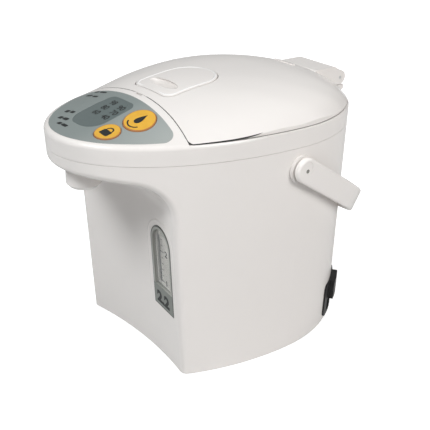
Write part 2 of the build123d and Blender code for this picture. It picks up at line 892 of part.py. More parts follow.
def lever_prism(grow):
    return extrude(lever_outline(grow), amount=40)


vent_plane = Plane.XY.offset(lid_floor)
with BuildPart() as lid_hollow:
    egg_loft(lid_floor - 5, 245, lid_inset + 1.8)
    behind_lid_line(lid_gap + lid_wall, 200, 250, mode=Mode.INTERSECT)
    add(under_crown(-lid_wall), mode=Mode.INTERSECT)
    for post in lid_posts:
        disc(lid_floor, 240, 3.5, post, mode=Mode.SUBTRACT)

with BuildPart() as lever_well:
    add(lever_prism(lever_gap + 2))
    add(under_crown(0), mode=Mode.INTERSECT)
    add(under_crown(-well_depth - 2), mode=Mode.SUBTRACT)

with BuildPart() as lever_room:
    add(lever_prism(lever_gap))
    add(under_crown(-well_depth), mode=Mode.SUBTRACT)

with BuildPart() as hinge_hump:
    prism_x(hump_profile, -hinge_half_width, hinge_half_width)
    rod_x(-hinge_half_width, hinge_half_width, (hinge_y, hinge_z), hinge_radius)
    fillet(hinge_hump.edges().filter_by(Axis.X).group_by(Axis.Z)[-1], 3)

with BuildPart() as lid_holes:
    rod_x(-17, 17, (lever_pin_y, lever_pin_z), hinge_pin_radius)
    slot = knuckle_half + 0.6
    rod_x(-slot, slot, (hinge_y, hinge_z), knuckle_radius + 0.6)
    block((-slot, slot), (hinge_y, 121), (hinge_z - 4.8, hinge_z + 3.6))
    block((-slot, slot), (hinge_y - 4.8, 121), (200, hinge_z))
    rod_x(-25, 25, (hinge_y, hinge_z), hinge_pin_radius)
    with BuildSketch(vent_plane):
        with Locations((0, vent_y)):
            SlotOverall(24, 7)
    extrude(amount=40)
    tongue_room = tongue_half + 0.4
    block((-tongue_room, tongue_room), (-96, -88), (tongue_foot - 0.4, tongue_top + 0.4))
    for post in lid_posts:
        disc(200, lid_floor + 4.4, screw_radius, post)

with BuildSketch(Plane.XY.offset(underside_bottom)) as lid_plan:
    add(egg_outline(underside_bottom, lid_inset - 0.8))
    add(lid_region(lid_gap - 0.5, underside_bottom), mode=Mode.INTERSECT)
    fillet(lid_plan.vertices().group_by(Axis.Y)[0], lid_corner_radius)

with BuildPart() as lid_cover:
    egg_loft(lid_floor, 245, lid_inset)
    behind_lid_line(lid_gap, lid_floor, 250, mode=Mode.INTERSECT)
    add(under_crown(0), mode=Mode.INTERSECT)
    lid_edges = [
        edge
        for edge in lid_cover.edges()
        if edge.length > 50 and edge.center().Y > -80 and edge.center().Z > lid_floor + 0.5
    ]
    fillet(lid_edges, lid_edge_radius)
    extrude(lid_plan.sketch, amount=50, mode=Mode.INTERSECT)
    add(lid_hollow.part, mode=Mode.SUBTRACT)
    add(lever_well.part)
    add(hinge_hump.part)
    add(lever_room.part, mode=Mode.SUBTRACT)
    add(lid_holes.part, mode=Mode.SUBTRACT)
save("lid_cover", lid_cover)

with BuildPart() as lid_underside:
    egg_loft(underside_bottom, lid_floor, wall + 0.8)
    behind_lid_line(lid_gap + 0.1, 180, 250, mode=Mode.INTERSECT)
    extrude(lid_plan.sketch, amount=50, mode=Mode.INTERSECT)
    disc(197, underside_bottom, plug_radius, container_centre)
    disc(197, underside_bottom, plug_radius - 3, container_centre, mode=Mode.SUBTRACT)
    disc(190, 215, duct_radius, (0, vent_y), mode=Mode.SUBTRACT)
    for post in lid_posts:
        disc(200, 215, screw_radius, post, mode=Mode.SUBTRACT)
save("lid_underside", lid_underside)

with BuildPart() as lid_plate:
    disc(194.5, underside_bottom, plug_radius + 1, container_centre)
    disc(195.5, underside_bottom, plug_radius, container_centre, mode=Mode.SUBTRACT)
    with BuildSketch(Plane.XY.offset(194.5)):
        with Locations((0, vent_y)):
            with PolarLocations(3, 3, 90):
                Circle(1.2)
    extrude(amount=1, mode=Mode.SUBTRACT)
save("lid_plate", lid_plate)

with BuildPart() as lid_gasket:
    disc(deck_top + 0.4, underside_bottom, 75, container_centre)
    disc(deck_top + 0.4, underside_bottom, plug_radius + 1, container_centre, mode=Mode.SUBTRACT)
save("lid_gasket", lid_gasket)

with BuildPart() as steam_duct:
    disc(195.5, 240, duct_radius, (0, vent_y))
    add(under_crown(-lid_wall), mode=Mode.INTERSECT)
    disc(195.5, 240, duct_radius - 1.5, (0, vent_y), mode=Mode.SUBTRACT)
save("steam_duct", steam_duct)

with BuildPart() as steam_cap:
    with BuildSketch(vent_plane):
        with Locations((0, vent_y)):
            SlotOverall(24, 7)
            SlotOverall(16, 1.6, mode=Mode.SUBTRACT)
    extrude(amount=40)
    add(crown_sheet(-lid_wall, 0.8), mode=Mode.INTERSECT)
save("steam_cap", steam_cap)

with BuildPart() as lid_screws:
    for post in lid_posts:
        disc(underside_bottom - 1.6, underside_bottom, 3, post)
        disc(underside_bottom, lid_floor + 4, screw_radius, post)
save("lid_screws", lid_screws)

with BuildPart() as hinge_pin:
    rod_x(-hinge_half_width, hinge_half_width, (hinge_y, hinge_z), hinge_pin_radius)
save("hinge_pin", hinge_pin)

# ---------------------------------------------------------------- lid lever and latch
finger_dish = scale(Sphere(1), by=(18, 8.5, 2.6)).moved(
    Location((0, -72, crown(0, -72) + lever_proud + 0.3), (-8, 0, 0))
)
lever_block = lever_prism(0) & crown_sheet(-lever_depth, lever_proud)
rounded_lever = fillet(lever_block.faces().sort_by(Axis.Z)[-1].edges(), 0.8)
with BuildPart() as lid_lever:
    add(rounded_lever)
    add(finger_dish, mode=Mode.SUBTRACT)
    rod_x(-20, 20, (lever_pin_y, lever_pin_z), hinge_pin_radius + running_gap, mode=Mode.SUBTRACT)
save("lid_lever", lid_lever)

with BuildPart() as lever_pin:
    rod_x(-17, 17, (lever_pin_y, lever_pin_z), hinge_pin_radius)
save("lever_pin", lever_pin)

with BuildPart() as lever_spring:
    disc(crown(0, -50) - well_depth - 0.3, crown(0, -50) - lever_depth - 0.5, 3.5, (0, -50))
    disc(200, 240, 2.5, (0, -50), mode=Mode.SUBTRACT)
    add(lid_cover.part, mode=Mode.SUBTRACT)
save("lever_spring", lever_spring)

with BuildPart() as lid_latch:
    block((-tongue_half, tongue_half), (-95.3, -86), (tongue_foot, tongue_top))
    chamfer(lid_latch.faces().sort_by(Axis.Y)[0].edges(), 0.6)
    block((-9, 9), (-88, -64), (tongue_foot, 213))
save("lid_latch", lid_latch)

# ---------------------------------------------------------------- handle
pivot = (pivot_y, pivot_z)
with BuildPart() as pivot_bosses:
    for side in (-1, 1):
        rod_x(side * 92, side * 97, pivot, boss_radius)
    egg_loft(150, 200, 0, mode=Mode.SUBTRACT)
    rod_x(-100, 100, pivot, pivot_pin_radius, mode=Mode.SUBTRACT)
save("pivot_bosses", pivot_bosses)


def sector(x_low, x_high, radius, start, turn, mode=Mode.ADD):
    """A wedge of a disc about the pivot, its angles measured from +Y towards +Z."""
    with BuildSketch(Plane.YZ.offset(x_low)) as wedge:
        with Locations(pivot):
            with BuildLine():
                arc = CenterArc(pivot, radius, start, turn)
                Polyline(arc @ 1, pivot, arc @ 0)
            make_face()
    return extrude(wedge.sketch, amount=x_high - x_low, mode=mode)


with BuildPart() as pivot_pins:
    for side in (-1, 1):
        rod_x(side * 88, side * 100.7, pivot, pivot_pin_radius)
        sector(side * 97.8, side * 99.4, 6.3, 75, 30)
save("pivot_pins", pivot_pins)

handle_plane = Plane(
    origin=(0, *pivot),
    x_dir=(1, 0, 0),
    z_dir=(0, sin(radians(handle_rest_angle)), cos(radians(handle_rest_angle))),
)

handle_side_plane = Plane(origin=(0, *pivot), x_dir=handle_plane.y_dir, z_dir=(1, 0, 0))


arm_lean = radians(arm_turn)
shoulder_lean = radians(arm_turn + shoulder_turn)
grip_radius = (
    handle_half_width
    - arm_radius * (1 - cos(arm_lean))
    - shoulder_radius * (cos(arm_lean) - cos(shoulder_lean))
) / cos(shoulder_lean)


def bail_side(inset):
    """Half of the bail's curve, drawn in by inset: arm, shoulder and grip are tangent arcs."""
    arm = JernArc((handle_half_width - inset, 0), (0, 1), arm_radius - inset, arm_turn)
    shoulder = JernArc(arm @ 1, arm % 1, shoulder_radius - inset, shoulder_turn)
    grip = JernArc(shoulder @ 1, shoulder % 1, grip_radius - inset, 90 - arm_turn - shoulder_turn)
    return grip @ 1


with BuildPart() as handle_bail:
    with BuildSketch(handle_plane):
        with BuildLine():
            outer_top = bail_side(0)
            inner_top = bail_side(handle_thickness)
            Line(outer_top, inner_top)
            Polyline(
                (handle_half_width, 0),
                (handle_half_width, -12),
                (handle_half_width - handle_thickness, -12),
                (handle_half_width - handle_thickness, 0),
            )
        make_face()
        mirror(about=Plane.YZ)
    extrude(amount=handle_band / 2, both=True)
    with BuildSketch(handle_side_plane) as side_view:
        Circle(handle_band / 2)
        with Locations((100, 0)):
            Rectangle(200, handle_band)
    extrude(amount=110, both=True, mode=Mode.INTERSECT)
    band_edges = [edge for edge in handle_bail.edges() if edge.length > 15]
    fillet(band_edges, handle_edge_radius)
    for side in (-1, 1):
        rod_x(side * 90, side * 101, pivot, pivot_pin_radius + running_gap, mode=Mode.SUBTRACT)
        sector(side * 90, side * 99.8, 6.6, -49, 156, mode=Mode.SUBTRACT)
        rod_x(side * 102.5, side * 104, (pivot_y, pivot_z + 3), 5, mode=Mode.SUBTRACT)
save("handle_bail", handle_bail)
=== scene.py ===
"""Looks of an electric thermo pot: finishes for its solids, printed marks, floor, light and camera.

Metres, +Z up, pouring side towards -Y. The pot stands on Z = 0.
"""
from math import asin, cos, degrees, pi, radians, sin

import bpy
import numpy as np
from mathutils import Matrix, Vector
from mathutils.bvhtree import BVHTree


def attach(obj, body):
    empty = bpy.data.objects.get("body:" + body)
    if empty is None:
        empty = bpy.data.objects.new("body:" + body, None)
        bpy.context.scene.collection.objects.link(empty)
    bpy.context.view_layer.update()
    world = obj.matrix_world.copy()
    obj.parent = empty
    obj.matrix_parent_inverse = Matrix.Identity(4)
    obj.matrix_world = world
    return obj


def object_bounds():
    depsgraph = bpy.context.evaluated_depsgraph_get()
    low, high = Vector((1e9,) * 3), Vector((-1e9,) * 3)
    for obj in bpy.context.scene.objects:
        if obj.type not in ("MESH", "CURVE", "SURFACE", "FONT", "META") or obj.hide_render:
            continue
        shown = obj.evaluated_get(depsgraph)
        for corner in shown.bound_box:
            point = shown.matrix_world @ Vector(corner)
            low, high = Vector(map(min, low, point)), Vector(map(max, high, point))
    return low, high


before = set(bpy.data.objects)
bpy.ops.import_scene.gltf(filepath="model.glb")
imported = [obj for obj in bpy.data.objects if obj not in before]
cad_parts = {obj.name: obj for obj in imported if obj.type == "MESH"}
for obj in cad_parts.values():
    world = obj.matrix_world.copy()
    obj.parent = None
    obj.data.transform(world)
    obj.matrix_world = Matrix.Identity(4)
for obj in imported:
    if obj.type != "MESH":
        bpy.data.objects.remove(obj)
cad_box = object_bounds()
cad_top = cad_box[1][2]
scene = bpy.context.scene
MM = 0.001
# The plan is measured from the pot's widest point, which lies this far behind the frame's middle.
SHIFT = 0.0234
# Rays that look for a solid's surface start at this height, above everything.
ABOVE = 0.3

# The gauge's own plane: its middle, and its directions across, up and out.
gauge_out = Vector((-0.13211, -0.98831, -0.07608)).normalized()
gauge_across = Vector((-gauge_out.y, gauge_out.x, 0)).normalized()
gauge_up = gauge_out.cross(gauge_across)
gauge_middle = Vector((0.043, -0.1013283 + SHIFT, 0.09))


# ------------------------------------------------------------------ shader arithmetic
class Wire:
    """A value in a material. Arithmetic on wires and numbers adds Math nodes."""

    def __init__(self, finish, socket):
        self.finish = finish
        self.socket = socket

    def _math(self, operation, left, right):
        return self.finish.node("ShaderNodeMath", {"operation": operation}, {0: left, 1: right})

    def __add__(self, other):
        return self._math("ADD", self, other)

    def __radd__(self, other):
        return self._math("ADD", other, self)

    def __sub__(self, other):
        return self._math("SUBTRACT", self, other)

    def __rsub__(self, other):
        return self._math("SUBTRACT", other, self)

    def __mul__(self, other):
        return self._math("MULTIPLY", self, other)

    def __rmul__(self, other):
        return self._math("MULTIPLY", other, self)

    def __gt__(self, other):
        return self._math("GREATER_THAN", self, other)

    def __lt__(self, other):
        return self._math("LESS_THAN", self, other)

    def __pow__(self, other):
        return self._math("POWER", self, other)

    def __abs__(self):
        return self._math("ABSOLUTE", self, 0.0)


class Finish:
    """A material that is built up from nodes around one Principled surface."""

    def __init__(self, name, colour, roughness, metallic=0.0, coat=0.0, transmission=0.0):
        self.material = bpy.data.materials.new(name)
        self.material.use_nodes = True
        self.tree = self.material.node_tree
        self.surface = self.tree.nodes["Principled BSDF"]
        self.set("Base Color", (*colour, 1.0))
        self.set("Roughness", roughness)
        self.set("Metallic", metallic)
        self.set("Coat Weight", coat)
        self.set("Coat Roughness", 0.08)
        self.set("Transmission Weight", transmission)
        self.place = self.node("ShaderNodeTexCoord", out="Object")

    def set(self, socket, value):
        """Set a socket of the surface to a number, or link a wire to it."""
        if isinstance(value, Wire):
            self.tree.links.new(value.socket, self.surface.inputs[socket])
        else:
            self.surface.inputs[socket].default_value = value

    def node(self, kind, settings=None, sockets=None, out=0):
        """Add a node: its settings first, then its sockets' values or links; gives one output."""
        made = self.tree.nodes.new(kind)
        for key, value in (settings or {}).items():
            setattr(made, key, value)
        for key, value in (sockets or {}).items():
            if isinstance(value, Wire):
                self.tree.links.new(value.socket, made.inputs[key])
            else:
                made.inputs[key].default_value = value
        return Wire(self, made.outputs[out])

    def noise(self, scale, detail=2.0, stretch=(1, 1, 1)):
        """A cloudy value between 0 and 1; scale is in features per metre."""
        spread = self.node("ShaderNodeVectorMath", {"operation": "MULTIPLY"}, {0: self.place, 1: stretch})
        return self.node(
            "ShaderNodeTexNoise", {}, {"Vector": spread, "Scale": scale, "Detail": detail}, out="Fac"
        )

    def axes(self):
        """The object coordinates, as three wires."""
        parts = {}
        for axis in "XYZ":
            parts[axis] = self.node("ShaderNodeSeparateXYZ", {}, {0: self.place}, out=axis)
        return parts["X"], parts["Y"], parts["Z"]

    def on_plane(self, across, up, middle):
        """Distances across and up a plane from its middle, as two wires."""
        x, y, z = self.axes()
        u = x * across.x + y * across.y + z * across.z - middle.dot(across)
        v = x * up.x + y * up.y + z * up.z - middle.dot(up)
        return u, v

    def mix(self, factor, low, high):
        """A colour between low and high."""
        return self.node(
            "ShaderNodeMix",
            {"data_type": "RGBA"},
            {0: factor, 6: low if isinstance(low, Wire) else (*low, 1.0),
             7: high if isinstance(high, Wire) else (*high, 1.0)},
            out=2,
        )

    def bump(self, height, strength, distance):
        """Let a wire's values stand out as a fine relief."""
        raised = self.node(
            "ShaderNodeBump", {}, {"Strength": strength, "Distance": distance, "Height": height}, out=0
        )
        self.set("Normal", raised)


def linear(*levels):
    """Display levels from 0 to 255 as linear light."""
    parts = np.asarray(levels, float) / 255
    return tuple(np.where(parts <= 0.04045, parts / 12.92, ((parts + 0.055) / 1.055) ** 2.4))


def moulded(name, levels, roughness, coat=0.0, grain=1600.0, depth=0.05, drift=0.03):
    """Moulded plastic: a faint drift of colour and gloss over a fine moulded grain."""
    colour = linear(*levels)
    made = Finish(name, colour, roughness, coat=coat)
    made.set("Specular IOR Level", 0.2)
    cloud = made.noise(14.0, 3.0)
    darker = tuple(c * (1 - 2 * drift) for c in colour)
    made.set("Base Color", made.mix(cloud, darker, colour))
    made.set("Roughness", (cloud - 0.5) * 0.08 + roughness)
    made.bump(made.noise(grain, 2.0), depth, 0.00005)
    return made


def dress(material, *nodes):
    """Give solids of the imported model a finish."""
    for name in nodes:
        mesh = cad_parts[name].data
        mesh.materials.clear()
        mesh.materials.append(material)


def ringed(name, centre, radius):
    """A key's amber film: a thin brown ring inside its edge, amber within."""
    made = moulded(name, (222, 172, 66), 0.38, grain=2600.0, depth=0.08, drift=0.03)
    x, y, z = made.axes()
    from_centre = ((x - centre[0]) ** 2 + (y - centre[1]) ** 2) ** 0.5
    edge = from_centre > radius
    amber_film = made.mix(made.noise(220.0, 3.0), linear(214, 160, 58), linear(230, 182, 74))
    made.set("Base Color", made.mix(edge, amber_film, linear(176, 120, 74)))
    return made


def panel_film():
    """The panel's film, with painted light that makes it paler towards +X, and the display's darker
    field.

    The field's rear corners are tighter than its front ones.
    """
    made = moulded("panel_film", (140, 150, 149), 0.42, grain=2600.0, depth=0.08, drift=0.02)
    x, y, z = made.axes()
    middle_x, middle_y = -0.0022, -0.1282 + SHIFT
    half_width, half_length = 0.0172, 0.0212
    front_radius, tighter_by = 0.0150, 0.0085
    across = abs(x - middle_x)
    along = abs(y - middle_y)
    corner = front_radius - (y > middle_y) * tighter_by
    larger = {"operation": "MAXIMUM"}
    beside = made.node("ShaderNodeMath", larger, {0: across - half_width + corner, 1: 0.0})
    beyond = made.node("ShaderNodeMath", larger, {0: along - half_length + corner, 1: 0.0})
    inside = (beside ** 2 + beyond ** 2) ** 0.5 < corner
    cloud = made.mix(made.noise(14.0, 3.0), linear(129, 137, 135), linear(139, 146, 144))
    product = {"operation": "MULTIPLY", "use_clamp": True}
    # Painted light: the film grows paler towards +X, as if lit from the right.
    painted_light_ramp = made.node("ShaderNodeMath", product, {0: x - 0.010, 1: 16.0})
    film_with_painted_light = made.mix(painted_light_ramp, cloud, linear(168, 172, 169))
    made.set("Base Color", made.mix(inside, film_with_painted_light, linear(98, 107, 106)))
    return made


def gauge_finish():
    """The gauge's frame: a dark outline, a pale ring round the window, a darker foot."""
    made = moulded("gauge_frame_grey", (150, 151, 146), 0.4, depth=0.06)
    u, v = made.on_plane(gauge_across, gauge_up, gauge_middle)
    arch_middle, outer_radius, foot, window_foot, outline = 0.0225, 0.0165, -0.039, -0.019, 0.0011
    rise = made.node("ShaderNodeMath", {"operation": "MAXIMUM"}, {0: v - arch_middle, 1: 0.0})
    ring = outer_radius - (u ** 2 + rise ** 2) ** 0.5
    border = made.node("ShaderNodeMath", {"operation": "MINIMUM"}, {0: ring, 1: v - foot})
    face = made.mix(v > window_foot, linear(126, 129, 124), linear(168, 168, 162))
    made.set("Base Color", made.mix(border < outline, face, linear(94, 95, 91)))
    return made


def plate_finish():
    """The plate behind the gauge's window, with a darker band of painted shade where the tube stands in
    front of it.
    """
    made = moulded("gauge_scale_grey", (208, 205, 198), 0.45, depth=0.04)
    u, v = made.on_plane(gauge_across, gauge_up, gauge_middle)
    # Painted shade: the tube's dark column is painted onto the plate as a darker band.
    tube_shade_middle, tube_shade_half = -0.0098, 0.0027
    tube_shade_band = abs(u - tube_shade_middle) < tube_shade_half
    made.set("Base Color", made.mix(tube_shade_band, linear(226, 223, 216), linear(190, 188, 181)))
    return made


def handle_finish():
    """The handle's white, with a small dark disc of painted shade at each pivot, in place of a dimple's
    shadow.
    """
    made = moulded("handle_white_plastic", (233, 228, 224), 0.24, coat=0.06, depth=0.03, drift=0.008)
    x, y, z = made.axes()
    pivot_y, pivot_z, dimple_shade_radius = -0.003 + SHIFT, 0.1735, 0.0017
    from_pivot = ((y - pivot_y) ** 2 + (z - pivot_z) ** 2) ** 0.5
    # Painted shade: a dark disc round each pivot stands in for the shadow in a dimple.
    made.set("Base Color", made.mix(from_pivot < dimple_shade_radius, linear(233, 228, 224), linear(128, 126, 120)))
    return made


white = moulded("white_gloss_plastic", (231, 226, 222), 0.22, coat=0.06, depth=0.03, drift=0.008)
panel = panel_film()
lens = moulded("display_film", (98, 108, 107), 0.25, coat=0.1, depth=0.02, drift=0.01)
pour_amber = ringed("pour_key_film", (0.033, -0.1163 + SHIFT), 0.0119)
lock_amber = ringed("lock_key_film", (0.0275, -0.1415 + SHIFT), 0.0095)
ink = moulded("dark_print", (44, 46, 46), 0.5, grain=3000.0, depth=0.04)
gauge_grey = gauge_finish()
# A whiter, glossier white for the lever's rim: a painted highlight.
highlight_white = moulded("painted_highlight_white", (241, 238, 236), 0.16, coat=0.2, depth=0.02, drift=0.005)
handle_white = handle_finish()
# Painted shade: a near-black finish for strips laid down in the lid's gap, where there is only shadow.
gap_shade_finish = moulded("lid_gap_painted_shade", (58, 57, 55), 0.6, depth=0.2, grain=1500.0)
scale_grey = plate_finish()
black = moulded("black_moulding", (36, 36, 36), 0.38, depth=0.2, grain=1100.0)
grey = moulded("inner_grey_moulding", (150, 150, 148), 0.5, depth=0.1)
rubber = moulded("foot_rubber", (70, 70, 70), 0.75, depth=0.3, grain=900.0)
silicone = moulded("milky_silicone", (205, 202, 194), 0.5, depth=0.05)
board = moulded("board_green", (36, 92, 52), 0.4, coat=0.2, depth=0.05)
mica = moulded("mica_sheet", (176, 150, 108), 0.55, depth=0.2, grain=500.0, drift=0.1)

steel = Finish("drawn_steel", (0.60, 0.60, 0.59), 0.3, metallic=1.0)
lines = steel.noise(900.0, 2.0, stretch=(1.0, 1.0, 0.04))
steel.set("Roughness", lines * 0.2 + 0.2)
steel.bump(lines, 0.1, 0.00003)

brass = Finish("contact_brass", (0.72, 0.52, 0.22), 0.3, metallic=1.0)
brass.set("Roughness", brass.noise(700.0) * 0.2 + 0.2)

clear = Finish("clear_plastic", (0.93, 0.94, 0.93), 0.06, transmission=0.95)
clear.set("Roughness", clear.noise(60.0) * 0.05 + 0.03)

window = Finish("clear_window", (0.86, 0.86, 0.84), 0.1, coat=0.3)
window.set("Roughness", window.noise(60.0) * 0.05 + 0.07)
window.set("Alpha", 0.16)

dress(white.material, "body_shell", "top_frame", "lid_cover", "lid_lever",
      "pivot_bosses", "spout_cover", "steam_cap")
dress(handle_white.material, "handle_bail")
dress(panel.material, "control_panel")
dress(lens.material, "display_window")
dress(pour_amber.material, "pour_key")
dress(lock_amber.material, "lock_key")
dress(gauge_grey.material, "gauge_frame")
dress(scale_grey.material, "gauge_plate")
dress(window.material, "gauge_window")
dress(clear.material, "gauge_tube")
dress(black.material, "inlet_housing", "bottom_cover", "swivel_base", "key_switches")
dress(grey.material, "glide_ring", "display_module", "spout_nozzle", "power_components",
      "pump_housing", "pump_cover", "container_support", "thermal_cutout", "lid_underside",
      "steam_duct", "lid_latch", "impeller")
dress(rubber.material, "swivel_feet", "pump_mount")
dress(silicone.material, "delivery_hose", "outlet_hose", "container_seal", "lid_gasket")
dress(board.material, "control_board", "power_board")
dress(mica.material, "band_heater", "base_heater")
dress(brass.material, "inlet_pins")
dress(steel.material, "spindle_washer", "spindle_screw", "cover_screws", "board_screws",
      "pump_motor", "inner_container", "heat_shield", "temperature_sensor", "pivot_pins",
      "lid_plate", "lid_screws", "hinge_pin", "lever_pin", "lever_spring", "drive_magnet")


# ------------------------------------------------------------------ printed marks, raised lines and painted shade in the lid's gap
def tree_of(node):
    """A solid's surface, ready for rays."""
    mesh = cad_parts[node].data
    corners = [vertex.co for vertex in mesh.vertices]
    return BVHTree.FromPolygons(corners, [tuple(face.vertices) for face in mesh.polygons])


def laid_on(nodes, flat, lift=0.00006):
    """Points of a flat drawing dropped straight down onto solids, and raised by lift."""
    trees = [tree_of(node) for node in nodes]
    heights = []
    for x, y in flat:
        hits = [tree.ray_cast(Vector((x, y, ABOVE)), Vector((0, 0, -1)))[0] for tree in trees]
        heights.append(max(hit.z for hit in hits if hit) + lift)
    return np.column_stack([flat, heights])


def add_piece(name, points, faces, finish, body):
    """Make a mesh of points and faces, which rides on a body."""
    mesh = bpy.data.meshes.new(name)
    mesh.from_pydata(np.asarray(points, float).tolist(), [], [tuple(map(int, f)) for f in faces])
    mesh.validate()
    mesh.materials.append(finish.material)
    piece = bpy.data.objects.new(name, mesh)
    scene.collection.objects.link(piece)
    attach(piece, body)
    return piece


def grid_faces(rows, columns, offset=0):
    """Quads between the points of a grid that is stored row by row."""
    i, j = np.meshgrid(np.arange(rows - 1), np.arange(columns - 1), indexing="ij")
    low = (i * columns + j).ravel() + offset
    return np.column_stack([low, low + 1, low + columns + 1, low + columns])


def rounded_bar(centre, size, turn=0.0, power=5.0):
    """A filled bar whose outline is a superellipse.

    With r from 0 to 1 and angle t: x = r * a * sign(cos t) * |cos t| ** (2 / power), and y
    likewise with b and sin t, then turned and moved.
    """
    r, t = np.meshgrid(np.linspace(0.02, 1, 3), np.linspace(0, 2 * pi, 33), indexing="ij")
    x = r * size[0] / 2 * np.sign(np.cos(t)) * np.abs(np.cos(t)) ** (2 / power)
    y = r * size[1] / 2 * np.sign(np.sin(t)) * np.abs(np.sin(t)) ** (2 / power)
    turned = x * cos(turn) - y * sin(turn), x * sin(turn) + y * cos(turn)
    flat = np.column_stack([turned[0].ravel(), turned[1].ravel()])
    return flat + np.asarray(centre), grid_faces(*r.shape)


def bow(centre, radii, start, stop):
    """A flat arc band: radius from the inner to the outer value, angle from start to stop."""
    r, t = np.meshgrid(np.linspace(*radii, 2), np.linspace(start, stop, 25), indexing="ij")
    flat = np.column_stack([(r * np.cos(t)).ravel(), (r * np.sin(t)).ravel()])
    return flat + np.asarray(centre), grid_faces(*r.shape)


def drop(centre, size):
    """A filled drop: x = r * a * sin t * sin(t / 2) ** 1.6, y = r * b * cos t, point upwards."""
    r, t = np.meshgrid(np.linspace(0.02, 1, 3), np.linspace(0, 2 * pi, 41), indexing="ij")
    x = r * size[0] / 2 * np.sin(t) * np.abs(np.sin(t / 2)) ** 1.6
    y = r * size[1] / 2 * np.cos(t)
    return np.column_stack([x.ravel(), y.ravel()]) + np.asarray(centre), grid_faces(*r.shape)


def numeral(text, centre, height, weight=0.012, wide=1.0):
    """A number as a flat mesh, its middle at centre, with its strokes thickened by weight."""
    curve = bpy.data.curves.new("numeral", "FONT")
    curve.body = text
    curve.offset = weight
    holder = bpy.data.objects.new("numeral", curve)
    mesh = bpy.data.meshes.new_from_object(holder)
    flat = np.array([vertex.co[:2] for vertex in mesh.vertices])
    faces = [tuple(face.vertices) for face in mesh.polygons]
    bpy.data.objects.remove(holder)
    low, high = flat.min(0), flat.max(0)
    scale = np.array((wide, 1.0)) * height / (high[1] - low[1])
    return (flat - (low + high) / 2) * scale + np.asarray(centre), faces


def joined(drawings):
    """Several flat drawings as one list of points and faces."""
    points, faces = [], []
    for flat, quads in drawings:
        offset = sum(len(part) for part in points)
        faces += [tuple(int(corner) + offset for corner in quad) for quad in quads]
        points.append(np.asarray(flat))
    return np.vstack(points), faces


def at(x, y):
    """Millimetres on the plan, measured from the widest point, in the scene's frame."""
    return np.array((x * MM, y * MM + SHIFT))


numbers = [("98", -6.0, -114.4), ("90", 7.2, -116.0), ("80", -6.2, -122.2), ("70", 8.0, -123.2),
           ("60", -6.2, -130.0), ("40", 7.2, -130.6)]
flat, faces = joined([numeral(text, at(x, y), 0.0054, 0.02, 1.05) for text, x, y in numbers])
add_piece("display_numbers", laid_on(("display_window", "control_panel"), flat), faces, ink,
          "pot")

bars = [((-47.5, -111.6), (9.5, 2.6)), ((-36.8, -112.6), (7.5, 2.6)),
        ((-46.4, -105.0), (6.6, 2.2)), ((-36.8, -104.9), (9.6, 2.2)),
        ((-34.2, -140.0), (5.2, 4.0)), ((-27.6, -139.0), (5.4, 3.4)),
        ((-26.6, -150.3), (5.0, 4.0)), ((-19.9, -149.6), (6.6, 3.8)),
        ((-16.2, -157.2), (4.6, 3.6)), ((-9.4, -156.8), (7.4, 3.4))]
flat, faces = joined([rounded_bar(at(*place), np.array(size) * MM) for place, size in bars])
add_piece("panel_marks", laid_on(("control_panel",), flat), faces, ink, "pot")

flat, faces = joined([drop(at(33.0, -114.9), (0.0086, 0.0125)),
                      bow(at(33.0, -119.2), (0.0062, 0.0074), 1.15 * pi, 1.85 * pi)])
add_piece("pour_mark", laid_on(("pour_key",), flat), faces, ink, "pour_button")

flat, faces = joined([rounded_bar(at(27.5, -143.2), (0.0094, 0.0066), power=6.0),
                      bow(at(27.5, -139.8), (0.0026, 0.0038), -0.05 * pi, 1.05 * pi)])
add_piece("lock_mark", laid_on(("lock_key",), flat), faces, ink, "lock_button")


def on_gauge(flat, out):
    """Points of a flat drawing on the gauge's plane, out metres in front of the wall."""
    frame_axes = np.array([gauge_across, gauge_up])
    return np.asarray(flat) @ frame_axes + np.array(gauge_middle + gauge_out * out)


ticks = [rounded_bar((-0.0035, -0.0145 + 0.0057 * k), (0.0030 if k % 5 else 0.0062, 0.0006), power=4.0)
         for k in range(8)]
litres = [numeral("2", (0.0035, 0.0140), 0.0056, 0.03, 1.2),
          numeral("1", (0.0015, -0.0145), 0.0056, 0.03, 1.2)]
plate_out, foot_out = -0.00214, 0.00086
flat, faces = joined(ticks + litres)
add_piece("gauge_scale", on_gauge(flat, plate_out), faces, ink, "pot")

flat, faces = numeral("2.2", (-0.0010, -0.0300), 0.0116, 0.055, 1.2)
add_piece("gauge_number", on_gauge(flat, foot_out), faces, ink, "pot")


def raised_line(name, path, width, height, node, finish):
    """A low rounded line that follows a path over the front wall.

    The path is a list of points on the gauge's plane. At each one, the section is a half wave:
    across it by width * (v - 0.5) and out of the wall by height * sin(pi * v), v from 0 to 1.
    """
    tree = tree_of(node)
    path = np.asarray(path)
    along = np.gradient(path, axis=0)
    along /= np.linalg.norm(along, axis=1)[:, None]
    side = np.column_stack([-along[:, 1], along[:, 0]])
    rows = []
    for v in np.linspace(0, 1, 7):
        flat = path + side * width * (v - 0.5)
        starts = on_gauge(flat, 0.02)
        hits = [tree.ray_cast(Vector(start), -gauge_out)[0] for start in starts]
        rows.append(np.array(hits) + np.array(gauge_out) * (height * sin(pi * v) - 0.00005))
    add_piece(name, np.vstack(rows), grid_faces(7, len(path)), finish, "pot")


